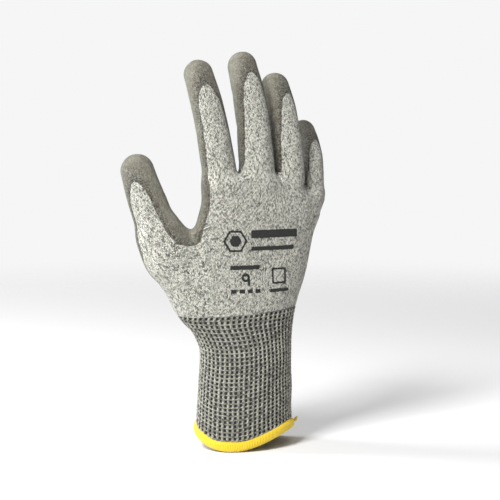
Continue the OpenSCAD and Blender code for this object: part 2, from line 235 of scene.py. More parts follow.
def round_cone(p, a, b, ra, rb):
    """Distance to two balls and the cone that touches both."""
    size = np.linalg.norm(b - a)
    q = p - a
    y = q @ ((b - a) / size)
    x = np.sqrt(np.maximum((q * q).sum(1) - y * y, 0))
    lean = (ra - rb) / size
    rise = math.sqrt(1 - lean * lean)
    k = rise * y - lean * x
    d = np.where(k < 0, np.hypot(x, y) - ra, rise * x + lean * y - ra)
    return np.where(k > rise * size, np.hypot(x, y - size) - rb, d)


def chain(p, points, radii, k=3):
    total = None
    for i in range(len(points) - 1):
        d = round_cone(p, points[i], points[i + 1], radii[i], radii[i + 1])
        total = d if total is None else smin(total, d, k)
    return total


def tube_field(p, digit, lead_in):
    """Distance to a smooth tube round a digit's line, with a round tip."""
    s, _, away = digit.rail.coords(p)
    stations = np.concatenate([[-14], np.cumsum([0, *digit.lengths])])
    radius = along(s, np.stack([stations, [lead_in, *digit.radii]], 1))[:, 0]
    beyond = np.maximum(np.maximum(s - stations[-1], -14 - s), 0)
    return np.hypot(away, beyond) - radius


def digit_field(p, digit):
    if digit is THUMB:
        ball = chain(p, np.concatenate([THENAR, digit.points[:1] + (0.6, 0, 0)]),
                     [*THENAR_R, digit.radii[0] + 0.8], 5)
        return smin(ball, tube_field(p, digit, digit.radii[0] + 0.6), 6)
    return tube_field(p, digit, digit.radii[0] * (0.55 if digit.name == "little" else 0.85))


def glove_field(p):
    body = smin(palm_field(p), digit_field(p, THUMB), 9)
    total = body
    for digit in FINGERS:
        fillet = 12 if digit.name == "little" else 5
        total = np.minimum(total, smin(body, digit_field(p, digit), fillet))
    return total


def slope_of(p, field, step=0.05):
    value = field(p)
    parts = [(field(p + step * e) - value) / step for e in np.eye(3)]
    return value, np.stack(parts, 1)


# ---- Meshes ----
class Skin:
    """Triangles, with values kept at their points. co is where a point was before the
    relief, which every rule about places uses; at is where it is."""

    def __init__(self, co, tri, **values):
        self.co, self.tri, self.values = co, tri, values

    def pick(self, tri):
        used, tri = np.unique(tri, return_inverse=True)
        return Skin(self.co[used], tri.reshape(-1, 3),
                    **{k: v[used] for k, v in self.values.items()})

    def between(self, pairs, t):
        """The same, with a new point at share t of the way between each pair of points."""
        def extended(v):
            share = t.reshape(-1, *[1] * (v.ndim - 1))
            return np.concatenate([v, v[pairs[:, 0]] * (1 - share) + v[pairs[:, 1]] * share])

        return Skin(extended(self.co), self.tri,
                    **{k: extended(v) for k, v in self.values.items()})

    def cut(self, field):
        """The part where the field is positive, with a smooth edge along field = 0."""
        inside = field > 0
        count = inside[self.tri].sum(1)
        mixed = self.tri[(count == 1) | (count == 2)]
        lone_in = inside[mixed].sum(1) == 1
        lone = np.where(lone_in[:, None], inside[mixed], ~inside[mixed]).argmax(1)
        turned = np.take_along_axis(mixed, (lone[:, None] + np.arange(3)) % 3, 1)
        pairs = np.sort(np.concatenate([turned[:, :2], turned[:, ::2]]), axis=1)
        pairs, made = np.unique(pairs, axis=0, return_inverse=True)
        made = made.reshape(-1) + len(self.co)
        e1, e2 = made[:len(mixed)], made[len(mixed):]
        t = field[pairs[:, 0]] / (field[pairs[:, 0]] - field[pairs[:, 1]])
        a, b, c = turned.T
        small = np.stack([a, e1, e2], 1)[lone_in]
        large = np.concatenate([np.stack([e1, b, c], 1)[~lone_in],
                                np.stack([e1, c, e2], 1)[~lone_in]])
        whole = self.between(pairs, t)
        return whole.pick(np.concatenate([self.tri[count == 3], small, large]))

    def split_fine(self, chosen):
        """Each chosen triangle becomes four."""
        tri = self.tri[chosen]
        pairs = np.sort(np.concatenate([tri[:, [0, 1]], tri[:, [1, 2]], tri[:, [2, 0]]]), axis=1)
        pairs, made = np.unique(pairs, axis=0, return_inverse=True)
        ab, bc, ca = made.reshape(-1).reshape(3, -1) + len(self.co)
        a, b, c = tri.T
        fours = [(a, ab, ca), (ab, b, bc), (ca, bc, c), (ab, bc, ca)]
        whole = self.between(pairs, np.full(len(pairs), 0.5))
        return whole.pick(np.concatenate([np.stack(t, 1) for t in fours]))


def point_normals(co, tri):
    a, b, c = co[tri[:, 0]], co[tri[:, 1]], co[tri[:, 2]]
    face = np.cross(b - a, c - a)
    total = np.stack([sum(np.bincount(tri[:, k], face[:, axis], len(co)) for k in range(3))
                      for axis in range(3)], 1)
    return unit(total)


def surface_net(field, lo, hi, h, coarse=4):
    """The surface field = 0 inside a box, as triangles about h across."""
    lo, hi = np.array(lo, float), np.array(hi, float)
    blocks = np.ceil((hi - lo) / (h * coarse)).astype(int)
    axes = [lo[k] + h * coarse * np.arange(blocks[k] + 1) for k in range(3)]
    places = np.stack(np.meshgrid(*axes, indexing="ij"), -1).reshape(-1, 3)
    d = field(places).reshape(blocks + 1)
    for axis in range(3):
        n = blocks[axis]
        at = np.arange(n * coarse + 1) / coarse
        i = np.minimum(at.astype(int), n - 1)
        t = (at - i).reshape([-1 if k == axis else 1 for k in range(3)])
        d = np.take(d, i, axis) * (1 - t) + np.take(d, i + 1, axis) * t
    near = np.argwhere(np.abs(d) < 2.6)
    d[tuple(near.T)] = field(lo + near * h)
    inside = d < 0
    cells = [slice(None, -1), slice(1, None)]
    corners = [(i, j, k) for i in (0, 1) for j in (0, 1) for k in (0, 1)]
    count = sum(inside[cells[i], cells[j], cells[k]].astype(np.int8) for i, j, k in corners)
    index = np.argwhere((count > 0) & (count < 8))
    number = np.full(count.shape, -1)
    number[tuple(index.T)] = np.arange(len(index))
    value = {c: d[tuple((index + c).T)] for c in corners}
    total, hits = np.zeros((len(index), 3)), np.zeros(len(index))
    for c in corners:
        for axis in range(3):
            if c[axis]:
                continue
            other = tuple(1 if k == axis else c[k] for k in range(3))
            a, b = value[c], value[other]
            crosses = (a < 0) != (b < 0)
            t = np.where(crosses, a / np.where(crosses, a - b, 1), 0)
            point = np.array(c, float) + t[:, None] * np.eye(3)[axis]
            total += point * crosses[:, None]
            hits += crosses
    co = lo + h * (index + total / hits[:, None])
    quads = []
    for axis in range(3):
        b, c = (axis + 1) % 3, (axis + 2) % 3
        first = np.take(inside, np.arange(inside.shape[axis] - 1), axis)
        second = np.take(inside, np.arange(1, inside.shape[axis]), axis)
        edges = np.argwhere(first != second)
        edges = edges[(edges[:, b] > 0) & (edges[:, c] > 0)
                      & (edges[:, b] < inside.shape[b] - 1) & (edges[:, c] < inside.shape[c] - 1)]
        sides = []
        for db, dc in ((1, 1), (0, 1), (0, 0), (1, 0)):
            cell = edges.copy()
            cell[:, b] -= db
            cell[:, c] -= dc
            sides.append(number[tuple(cell.T)])
        quad = np.stack(sides, 1)
        outward = inside[tuple(edges.T)]
        quad[~outward] = quad[~outward][:, ::-1]
        quads.append(quad)
    quad = np.concatenate(quads)
    diagonal = [np.linalg.norm(co[quad[:, k]] - co[quad[:, k + 2]], axis=1) for k in (0, 1)]
    short = (diagonal[0] < diagonal[1])[:, None]
    tri = np.concatenate([np.where(short, quad[:, [0, 1, 2]], quad[:, [0, 1, 3]]),
                          np.where(short, quad[:, [0, 2, 3]], quad[:, [1, 2, 3]])])
    edges = np.concatenate([tri[:, [0, 1]], tri[:, [1, 2]], tri[:, [2, 0]]])
    near_count = np.bincount(edges[:, 0], minlength=len(co))[:, None]
    for _ in range(3):
        mean = np.stack([np.bincount(edges[:, 0], co[edges[:, 1], k], len(co))
                         for k in range(3)], 1) / near_count
        co = (co + mean) / 2
        for _ in range(2):
            value, slope = slope_of(co, field)
            size = np.maximum((slope * slope).sum(1), 0.2)
            co = co - np.clip(value / size, -h, h)[:, None] * slope
    return Skin(co, tri)


# ---- Places on the glove: rules that take points before the relief ----
WALE = 1.65
COURSE = 1.05
DIGIT_WALES = {"index": 40, "middle": 41, "ring": 39, "little": 33, "thumb": 48}
arc_angle = np.linspace(0, 2 * math.pi, 721)
arc_shape = np.stack([39 * np.sign(np.sin(arc_angle)) * np.abs(np.sin(arc_angle)) ** 0.87,
                      -16 * np.sign(np.cos(arc_angle)) * np.abs(np.cos(arc_angle)) ** 0.87], 1)
arc_length = np.concatenate([[0], np.cumsum(np.linalg.norm(np.diff(arc_shape, axis=0), axis=1))])


def round_hand(p):
    """Length round the hand from the middle of its back, in mm, positive towards +X."""
    u, v = palm_place(p)[:2]
    angle = np.arctan2(u, -v)
    return np.sign(angle) * np.interp(np.abs(angle), arc_angle, arc_length)


def arc(degrees):
    return np.interp(np.radians(degrees), arc_angle, arc_length)


# How far each bare strip is turned to the little finger's side at its root and at its end.
STRIP_TURN = {"index": (0, -13), "middle": (0, 0), "ring": (12, 19), "little": (18, 14)}


def bare_on_finger(p, digit):
    """Positive on the strip of a finger's back that the coating leaves bare, in mm."""
    s, angle, _ = digit.rail.coords(p)
    tip = digit.rail.length + digit.radii[-1] - (24 if digit.name == "little" else 21.5)
    arch = 22
    half = np.radians(np.interp(s, [0, 0.45 * tip, tip - arch], [57, 54, 47]))
    radius = np.interp(s, np.cumsum([0, *digit.lengths]), digit.radii)
    first, last = np.radians(STRIP_TURN[digit.name])
    shift = first + (last - first) * ramp(s, tip - 35, tip)
    width = radius * half
    over = np.maximum(s - (tip - arch), 0) * width / arch
    strip = width - np.hypot(radius * (angle - shift), over)
    return smin(strip, s + 4, 6)


def bare_on_thumb(p):
    s, angle, _ = THUMB.rail.coords(p)
    tip = THUMB.rail.length + THUMB.radii[-1] - 20
    arch = 18
    half = np.radians(np.interp(s, [-58, -40, -25, -12, 0, tip - arch], [80, 80, 72, 55, 40, 35]))
    radius = np.interp(s, [-58, -40, -14, 0, tip], [15, 17, 16, 13.7, 11.5])
    width = radius * half
    over = np.maximum(s - (tip - arch), 0) * width / arch
    return width - np.hypot(radius * angle, over)


def bare_field(p):
    """Positive where the knit is bare, in mm from the coating's edge."""
    along_hand = round_hand(p)
    x, z = p[:, 0], p[:, 2]
    thumb_side = arc(105) + (arc(66) - arc(105)) * ramp(z, 116, 132)
    little_side = arc(98) - 3 * ramp(z, 120, 160)
    back = np.where(along_hand < 0, thumb_side, little_side) - np.abs(along_hand)
    bare = np.minimum(back, along(x, CAP)[:, 0] + 3 - z)
    for digit in FINGERS:
        bare = smax(bare, bare_on_finger(p, digit), 3)
    return smax(bare, bare_on_thumb(p), 4) + 0.15 * waves(p, 5, 5)


# ---- The relief that wear and the hand inside press into the fabric ----
HOLLOW, HOLLOW_AT, HOLLOW_REACH = 2.3, (8, 126), (16, 22)
HEEL, HEEL_AT, HEEL_REACH = 1.6, (34, 106), (13, 20)
FOLD_RISE, FOLD_Z, FOLD_REACH = 0.5, 157, 8
PAD, PAD_REACH, PAD_BELOW_ROOT = 1.1, (7, 9), 6
KNUCKLE_RISE, KNUCKLE_Z, KNUCKLE_REACH = 0.5, 168, 9
CREASE, CREASE_REACH = 0.35, 2.4


def relief(p, normal):
    """Height of the worn fabric over the plain surface: slow and quick waves, the hollow and
    the heel of the palm, a pad under each finger, the knuckles, and the digits' creases."""
    x, y, z = p.T
    palm = ramp(normal[:, 1], 0.1, 0.8)
    back = ramp(-normal[:, 1], 0.1, 0.8)
    height = 0.2 * waves(p * (1.3, 1.3, 0.6), 28, 1) + 0.09 * waves(p * (1, 1, 0.5), 9, 2)

    def spot(at, reach):
        return bell(np.hypot((x - at[0]) / reach[0], (z - at[1]) / reach[1]))

    on_hand = palm * ramp(-z, -172, -160)
    height -= HOLLOW * on_hand * spot(HOLLOW_AT, HOLLOW_REACH)
    height += HEEL * on_hand * spot(HEEL_AT, HEEL_REACH)
    height += FOLD_RISE * on_hand * bell((z - FOLD_Z + 0.12 * (x - 10)) / FOLD_REACH)
    for digit in FINGERS:
        root_x, _, root_z = digit.points[0]
        height += PAD * palm * spot((root_x, root_z - PAD_BELOW_ROOT), PAD_REACH)
    height += (KNUCKLE_RISE * back * bell((z - KNUCKLE_Z) / KNUCKLE_REACH)
               * (0.5 + 0.5 * waves(p, 22, 3)))
    for digit in DIGITS:
        s, angle, radius = digit.rail.coords(p)
        own = radius < digit.radii[0] + 4
        for j in range(1, len(digit.lengths)):
            crease = bell((s - sum(digit.lengths[:j])) / CREASE_REACH)
            height -= own * CREASE * crease * ramp(-np.cos(angle), 0, 0.7)
    return height


# ---- Making the pieces ----
def blender_mesh(name, co, faces, normals, material, values, corners):
    """A mesh from points, faces of one size, a normal for each point, values at the points
    and pairs of values at the faces' corners."""
    mesh = bpy.data.meshes.new(name)
    side = faces.shape[1]
    mesh.vertices.add(len(co))
    mesh.vertices.foreach_set("co", (co * MM).astype(np.float32).ravel())
    mesh.loops.add(faces.size)
    mesh.loops.foreach_set("vertex_index", faces.astype(np.int32).ravel())
    mesh.polygons.add(len(faces))
    mesh.polygons.foreach_set("loop_start", np.arange(0, faces.size, side, dtype=np.int32))
    mesh.update(calc_edges=True)
    mesh.shade_smooth()
    for key, value in values.items():
        data = mesh.attributes.new(key, "FLOAT", "POINT").data
        data.foreach_set("value", np.asarray(value, np.float32))
    for key, value in corners.items():
        data = mesh.attributes.new(key, "FLOAT2", "CORNER").data
        data.foreach_set("vector", value.astype(np.float32).ravel())
    if normals is not None:
        mesh.normals_split_custom_set_from_vertices(normals.astype(np.float32))
    mesh.materials.append(material)
    obj = bpy.data.objects.new(name, mesh)
    bpy.context.scene.collection.objects.link(obj)
    return obj


def keep_places(piece, co):
    """Keeps each point's place at rest, which the materials' noise is drawn on."""
    data = piece.data.attributes.new("place", "FLOAT_VECTOR", "POINT").data
    data.foreach_set("vector", co.astype(np.float32).ravel())


def near_seam(place, period):
    """Counts on past the seam in the faces that cross it, instead of starting again."""
    high = place[:, :, 0].max(1, keepdims=True)
    place[:, :, 0] += period * ((high - place[:, :, 0]) > period / 2)
    return place


def shell(name, skin, thickness, material, stitches, values):
    """A closed sheet of fabric: the skin, the same skin pushed in, and walls round the edge.
    stitches is a list of ways to count the knit, (place of each point, period after which it
    starts again, share of each point in it), and a face takes the one with most share."""
    at, normal, tri = skin.values["at"], skin.values["normal"], skin.tri
    n = len(at)
    edges = np.concatenate([tri[:, [0, 1]], tri[:, [1, 2]], tri[:, [2, 0]]])
    code = edges[:, 0] * n + edges[:, 1]
    rim = edges[~np.isin(code, edges[:, 1] * n + edges[:, 0])]
    a, b = rim.T
    faces = np.concatenate([tri, tri[:, ::-1] + n,
                            np.stack([b, a, a + n], 1), np.stack([b, a + n, b + n], 1)])
    co = np.concatenate([at, at - normal * thickness])
    place, most = None, None
    for stitch, period, share in stitches:
        here = near_seam(np.concatenate([stitch, stitch])[faces], period)
        share = np.concatenate([share, share])[faces].mean(1)
        place = here if place is None else np.where((share > most)[:, None, None], here, place)
        most = share if most is None else np.maximum(share, most)
    piece = blender_mesh(name, co, faces, np.concatenate([normal, -normal]), material,
                         {k: np.concatenate([v, v]) for k, v in values.items()},
                         {"stitch": place})
    keep_places(piece, np.concatenate([skin.co, skin.co]))
    return piece


def srgb(r, g, b):
    return tuple(((c / 255 + 0.055) / 1.055) ** 2.4 if c > 10 else c / 3294.6
                 for c in (r, g, b)) + (1,)


# ---- Materials ----
class Look:
    """A material made from nodes. Each method adds one node and returns its output."""

    def __init__(self, name, roughness=0.7, sheen=0.0):
        self.material = bpy.data.materials.new(name)
        self.material.use_nodes = True
        self.tree = self.material.node_tree
        self.shader = self.tree.nodes["Principled BSDF"]
        self.shader.inputs["Roughness"].default_value = roughness
        self.shader.inputs["Sheen Weight"].default_value = sheen
        self.shader.inputs["Sheen Roughness"].default_value = 0.6

    def put(self, socket, value):
        if isinstance(value, bpy.types.NodeSocket):
            self.tree.links.new(value, socket)
        else:
            socket.default_value = value

    def node(self, kind, output, inputs, **settings):
        made = self.tree.nodes.new(kind)
        for key, value in settings.items():
            setattr(made, key, value)
        for key, value in inputs.items():
            self.put(made.inputs[key], value)
        return made.outputs[output]

    def math(self, operation, a, b=0.0, c=0.0):
        return self.node("ShaderNodeMath", 0, {0: a, 1: b, 2: c}, operation=operation)

    def add(self, a, b):
        return self.math("ADD", a, b)

    def less(self, a, b):
        return self.math("SUBTRACT", a, b)

    def times(self, a, b):
        return self.math("MULTIPLY", a, b)

    def absolute(self, a):
        return self.math("ABSOLUTE", a)

    def floor(self, a):
        return self.math("FLOOR", a)

    def sine(self, a):
        return self.math("SINE", a)

    def scaled(self, value, by, plus=0.0):
        return self.math("MULTIPLY_ADD", value, by, plus)

    def smooth(self, value, start, end, low=0.0, high=1.0):
        return self.node("ShaderNodeMapRange", 0,
                         {"Value": value, "From Min": start, "From Max": end,
                          "To Min": low, "To Max": high}, interpolation_type="SMOOTHSTEP")

    def mix(self, share, a, b, kind="MIX"):
        return self.node("ShaderNodeMix", 2, {0: share, 6: a, 7: b}, data_type="RGBA",
                         blend_type=kind)

    def tinted(self, tone, *layers):
        """A colour with others laid over it in turn; a layer is its share and its colour."""
        for share, colour in layers:
            tone = self.mix(share, tone, srgb(*colour))
        return tone

    def value_of(self, name):
        return self.node("ShaderNodeAttribute", "Fac", {}, attribute_name=name)

    def vector_of(self, name):
        return self.node("ShaderNodeAttribute", "Vector", {}, attribute_name=name)

    def noise(self, scale, detail=2.0, stretch=(1, 1, 1)):
        """Noise on the piece's own points; scale is lumps per millimetre."""
        place = self.node("ShaderNodeVectorMath", 0, {0: self.vector_of("place"), 1: stretch},
                          operation="MULTIPLY")
        return self.node("ShaderNodeTexNoise", 0, {"Vector": place, "Scale": scale,
                                                   "Detail": detail, "Roughness": 0.6})

    def random(self, a, b):
        pair = self.node("ShaderNodeCombineXYZ", 0, {0: a, 1: b, 2: 0.0})
        return self.node("ShaderNodeTexWhiteNoise", "Value", {"Vector": pair},
                         noise_dimensions="2D")

    def blend_colours(self, value, stops):
        made = self.tree.nodes.new("ShaderNodeValToRGB")
        ramp_points = made.color_ramp.elements
        while len(ramp_points) < len(stops):
            ramp_points.new(0.5)
        for point, (place, colour) in zip(ramp_points, stops):
            point.position = place
            point.color = colour
        self.put(made.inputs[0], value)
        return made.outputs[0]

    def bump(self, height, depth_mm):
        return self.node("ShaderNodeBump", 0, {"Height": height, "Distance": depth_mm * MM,
                                               "Strength": 1.0})

    def finish(self, colour, normal, roughness=None):
        self.put(self.shader.inputs["Base Color"], colour)
        self.put(self.shader.inputs["Normal"], normal)
        if roughness is not None:
            self.put(self.shader.inputs["Roughness"], roughness)
        return self.material


def plain_stitches(look):
    """The V stitches of plain knitting: how high the yarn stands, a random number for each
    half of each leg of a stitch, and the ribs that the legs make side by side."""
    place = look.node("ShaderNodeSeparateXYZ", 0, {0: look.vector_of("stitch")})
    u, v = place, place.node.outputs[1]
    wale = look.math("DIVIDE", u, WALE)
    column = look.floor(wale)
    across = look.less(look.less(wale, column), 0.5)
    side = look.math("GREATER_THAN", across, 0.0)
    out = look.absolute(look.scaled(across, 2.0))
    wobble = look.scaled(look.noise(0.5, 1.0), 0.7)
    phase = look.add(look.scaled(v, 1 / COURSE, wobble), look.scaled(out, -0.95))
    leg = look.floor(phase)
    part = look.less(phase, leg)
    round_leg = look.sine(look.scaled(part, math.pi))
    groove = look.smooth(out, 0.0, 0.3)
    gap = look.smooth(out, 1.0, 0.72)
    rib = look.times(groove, gap)
    height = look.times(round_leg, rib)
    half = look.floor(look.scaled(phase, 2.0))
    return height, look.random(look.scaled(column, 2.0, side), half), rib


HEATHER = [(0.0, srgb(72, 72, 66)), (0.2, srgb(100, 100, 91)), (0.36, srgb(160, 160, 148)),
           (0.52, srgb(204, 203, 190)), (0.75, srgb(230, 229, 216)), (1.0, srgb(244, 243, 231))]


def knit_look():
    look = Look("liner knit", 0.85, 0.25)
    height, chance, _ = plain_stitches(look)
    clumps = look.noise(1.3, 3.0)
    shade = look.add(look.scaled(chance, 0.9), look.scaled(clumps, 0.16, -0.03))
    yarn = look.blend_colours(shade, HEATHER)
    fibre = look.noise(4.0, 3.0, (1, 1, 0.5))
    # Painted shade where the stitches dip between legs; the fibre noise is the yarn's tone.
    light = look.add(look.scaled(height, 0.56, 0.55), look.scaled(fibre, 0.3, -0.12))
    colour = look.mix(1.0, yarn, look.node("ShaderNodeCombineXYZ", 0,
                                           {0: light, 1: light, 2: light}), "MULTIPLY")
    relief_height = look.add(height, look.scaled(fibre, 0.5))
    return look.finish(colour, look.bump(relief_height, 0.35))


def coating_look():
    look = Look("coating", 0.55)
    height, _, rib = plain_stitches(look)
    edge = look.value_of("edge")
    palmward = look.value_of("palmward")
    smoothed = look.value_of("smoothed")
    mottle = look.noise(0.22, 4.0)
    grain = look.noise(1.5, 4.0)
    fine = look.noise(5.0, 2.0)
    rough = look.scaled(smoothed, -0.85, 1.0)
    scuff = look.noise(0.75, 3.0, (1, 1, 0.6))
    pores = look.noise(1.1, 3.0)
    soaked = look.times(look.smooth(edge, 8.5, 0.3), look.smooth(pores, 0.47, 0.56))
    tone = look.tinted(
        look.mix(look.smooth(palmward, -0.5, 0.3), srgb(131, 121, 106), srgb(128, 131, 118)),
        (look.smooth(mottle, 0.4, 0.64, 0.0, 0.5), (158, 160, 146)),
        (look.times(look.smooth(grain, 0.5, 0.72, 0.0, 0.55), rough), (176, 177, 162)),
        (look.smooth(grain, 0.46, 0.3, 0.0, 0.4), (92, 92, 84)),
        (look.times(look.smooth(scuff, 0.5, 0.64, 0.0, 0.5), rough), (178, 180, 165)),
        (look.times(look.smooth(scuff, 0.46, 0.34, 0.0, 0.4), rough), (92, 94, 84)),
        # painted shade: darker in the grooves of the knit under the film
        (look.times(look.smooth(rib, 0.8, 0.1, 0.0, 0.6), rough), (88, 90, 80)),
        (look.scaled(smoothed, 0.6), (108, 111, 99)),
        (look.smooth(edge, 3.5, 0.5, 0.0, 0.3), (84, 82, 75)),
        (look.scaled(soaked, 0.95), (44, 43, 39)))
    through = look.times(look.smooth(edge, 7.0, 0.0, 0.6, 1.0), look.scaled(smoothed, -0.7, 1.0))
    surface = look.add(look.times(height, through), look.scaled(grain, 0.9))
    surface = look.add(surface, look.scaled(fine, 0.35))
    roughness = look.smooth(grain, 0.3, 0.7, 0.42, 0.62)
    return look.finish(tone, look.bump(surface, 0.4), roughness)


def rib_parts(look):
    """Where a point is in the cuff's rib: distance from a chain's middle, and the mask of the
    gaps between chains, where the materials paint shade."""
    place = look.node("ShaderNodeSeparateXYZ", 0, {0: look.vector_of("stitch")})
    p, q = place, place.node.outputs[1]
    wobble = look.scaled(look.noise(0.9, 2.0), 0.16, -0.08)
    across = look.absolute(look.less(look.math("FRACT", look.add(p, wobble)), 0.5))
    q = look.add(q, wobble)
    rise = look.absolute(look.less(look.math("FRACT", q), 0.5))
    gap = look.times(look.smooth(across, 0.2, 0.27), look.smooth(rise, 0.35, 0.28))
    return p, q, across, gap


def cuff_look():
    look = Look("rib knit", 0.85, 0.25)
    p, q, across, gap = rib_parts(look)
    chain_id = look.floor(look.scaled(p, 2.0))
    chance = look.random(chain_id, look.floor(look.scaled(q, 2.0, 0.25)))
    clumps = look.noise(1.1, 3.0)
    shade = look.add(look.scaled(chance, 0.5), look.scaled(clumps, 1.2, -0.38))
    yarn = look.mix(1.0, look.blend_colours(shade, HEATHER), srgb(196, 196, 192), "MULTIPLY")
    # Painted shade: the chains darken between their loops and in the valleys beside them.
    slant = look.add(q, look.scaled(across, 0.9))
    loop = look.absolute(look.sine(look.scaled(slant, math.pi)))
    valley = look.smooth(across, 0.2, 0.32)
    yarn = look.tinted(yarn, (look.smooth(loop, 0.75, 0.2, 0.0, 0.6), (92, 92, 85)),
                       (look.scaled(valley, 0.4), (112, 112, 104)))
    # Painted shade: the gaps between chains go near black, with a few fibre flecks.
    deep = look.math("MAXIMUM", gap, look.value_of("dark"))
    fibre = look.noise(4.0, 3.0)
    dark = look.mix(look.smooth(fibre, 0.55, 0.75), srgb(5, 5, 5), srgb(32, 32, 30))
    colour = look.mix(look.smooth(deep, 0.25, 0.6), yarn, dark)
    strand = look.sine(look.scaled(q, 4 * math.pi, look.scaled(across, 9.0)))
    surface = look.add(look.scaled(strand, 0.25), look.scaled(fibre, 0.6))
    return look.finish(colour, look.bump(surface, 0.3))


def cuff_film_look():
    look = Look("coating over rib", 0.6)
    _, _, across, gap = rib_parts(look)
    grain = look.noise(1.5, 4.0)
    fine = look.noise(5.0, 2.0)
    soaked = look.smooth(look.value_of("edge"), 6.0, 0.0, 0.0, 0.5)
    tone = look.tinted(
        look.mix(look.smooth(grain, 0.35, 0.7), srgb(104, 105, 96), srgb(150, 151, 139)),
        # painted shade: darker in the valleys beside chains and in the gaps between them
        (look.smooth(across, 0.2, 0.36, 0.0, 0.3), (84, 85, 78)),
        (look.scaled(gap, 0.8), (48, 48, 44)),
        (look.times(soaked, look.smooth(fine, 0.4, 0.6)), (74, 74, 68)))
    surface = look.add(look.scaled(grain, 0.9), look.scaled(gap, -0.8))
    return look.finish(tone, look.bump(surface, 0.25))


def thread_look(name, base, shadow, sheen=0.2):
    """Wound or twisted yarn: the attribute turns counts its turns."""
    look = Look(name, 0.6, sheen)
    turn = look.absolute(look.sine(look.scaled(look.value_of("turns"), math.pi)))
    fibre = look.noise(2.5, 3.0)
    share = look.add(look.smooth(turn, 0.0, 0.75, 0.0, 0.75), look.scaled(fibre, 0.4))
    colour = look.mix(share, shadow, base)
    return look.finish(colour, look.bump(look.add(turn, look.scaled(fibre, 0.5)), 0.2))


def ink_look():
    look = Look("print ink", 0.7)
    height, _, _ = plain_stitches(look)
    wear = look.noise(1.6, 4.0)
    worn = look.add(look.scaled(height, -0.2, 0.16), look.smooth(wear, 0.56, 0.78, 0, 0.5))
    colour = look.mix(worn, srgb(16, 17, 17), srgb(104, 104, 97))
    return look.finish(colour, look.bump(height, 0.3))


KNIT = knit_look()
COATING = coating_look()
RIB = cuff_look()
RIB_FILM = cuff_film_look()
HEM_YARN = thread_look("hem yarn", srgb(241, 208, 2), srgb(220, 176, 0))
ELASTIC_YARN = thread_look("elastic yarn", srgb(200, 198, 188), srgb(120, 118, 110))
INK = ink_look()


# ---- The hand: one surface, then its film, both cut at the digits' roots and bones' middles ----
KNIT_T = 1.0
FILM_T = 0.5
CUFF_TOP = 84.5
FILM_SINK, FILM_RISE = -0.3, 0.6


def skin_of_hand():
    low, high, step = (-80, -32, 74), (72, 48, 264), 0.85
    skin = surface_net(glove_field, low, high, step)
    normal = point_normals(skin.co, skin.tri)
    at = skin.co + normal * relief(skin.co, normal)[:, None]
    skin.values = {"at": at, "normal": point_normals(at, skin.tri), "bare": bare_field(skin.co)}
    return skin.cut(skin.co[:, 2] - cuff_line(skin.co[:, 0]) - 0.3)


def cuff_line(x):
    """Height at which the rib gives way to the plain knit, lower on the thumb side."""
    return CUFF_TOP + 1.5 + 0.06 * np.clip(x, -36, 36)


def film_of(skin):
    film = skin.cut(-skin.values["bare"])
    depth = -film.values["bare"]
    lift = FILM_SINK + FILM_RISE * ramp(depth, 0, 1.0)
    film.values["at"] = film.values["at"] + film.values["normal"] * lift[:, None]
    film.values["normal"] = point_normals(film.values["at"], film.tri)
    return film


def digit_zone(p, digit):
    """Positive on the digit, past its root and nearer to it than to the others."""
    pivot, ahead = digit.fold(1)
    own = digit_field(p, digit)
    others = np.min([digit_field(p, d) for d in DIGITS if d is not digit], axis=0)
    return np.minimum((p - pivot) @ ahead + 12, others - own)


def girth_table():
    """Length along level slices of the hand, from the middle of its back, at a grid of
    heights and real angles."""
    heights, angles = np.arange(74, 151, 2.0), np.radians(np.arange(-180, 181, 3.0))
    centre = np.stack([*along(heights, PALM).T[:2], heights], 1)
    way = np.stack([np.sin(angles), -np.cos(angles), 0 * angles], 1)
    near = np.full((len(heights), len(angles)), 4.0)
    far = np.full(near.shape, 90.0)
    for _ in range(18):
        middle = (near + far) / 2
        at = (centre[:, None] + middle[:, :, None] * way).reshape(-1, 3)
        ball = chain(at, np.concatenate([THENAR, THUMB.points[:2]]), [*THENAR_R, 13.7, 13], 5)
        ball = np.where(at[:, 2] > 134, 99, ball)
        inside = (smin(palm_field(at), ball, 9) < 0).reshape(middle.shape)
        near, far = np.where(inside, middle, near), np.where(inside, far, middle)
    outline = centre[:, None] + near[:, :, None] * way
    steps = np.minimum(np.linalg.norm(np.diff(outline, axis=1), axis=2), 3.0)
    length = np.concatenate([np.zeros((len(heights), 1)), np.cumsum(steps, axis=1)], 1)
    return heights, angles, length - length[:, [len(angles) // 2]]


GIRTH = girth_table()


def hand_stitch(p, from_palm):
    """A place in the hand's knit: length round the hand from the middle of its back or of
    its palm, and height."""
    heights, angles, length = GIRTH
    height = np.clip(p[:, 2], heights[0], heights[-1])
    xc, yc = along(height, PALM).T[:2]
    angle = np.arctan2(p[:, 0] - xc, -(p[:, 1] - yc))
    i = np.clip((height - heights[0]) / 2, 0, len(heights) - 1.001)
    j = np.clip((angle - angles[0]) / math.radians(3), 0, len(angles) - 1.001)
    i0, j0 = i.astype(int), j.astype(int)
    ti, tj = i - i0, j - j0
    mid = [length[i0 + k, j0] * (1 - tj) + length[i0 + k, j0 + 1] * tj for k in (0, 1)]
    u = mid[0] * (1 - ti) + mid[1] * ti
    if from_palm:
        ends = [length[i0, k] * (1 - ti) + length[i0 + 1, k] * ti for k in (0, -1)]
        u = np.where(u < 0, ends[0] - u, ends[1] - u)
    thenar = palm_field(p) - digit_field(p, THUMB)
    return [(np.stack([u, p[:, 2]], 1), 1e6, np.zeros(len(p))),
            (*digit_stitch(p, THUMB)[0][:2], thenar)]


def digit_stitch(p, digit):
    s, angle, _ = digit.rail.coords(p)
    full = DIGIT_WALES[digit.name] * WALE
    return [(np.stack([angle / (2 * math.pi) * full, s], 1), full, np.zeros(len(p)))]


def smoothed_palm(p):
    """Where gripping has pressed the coating smooth: the middle of the palm."""
    x, y, z = p.T
    middle = bell(np.hypot((x - 12) / 24, (z - 128) / 26))
    below_fingers = bell(np.hypot((x - 16) / 30, (z - 158) / 11))
    return ramp(y, 0, 8) * np.maximum(middle, 0.6 * below_fingers)


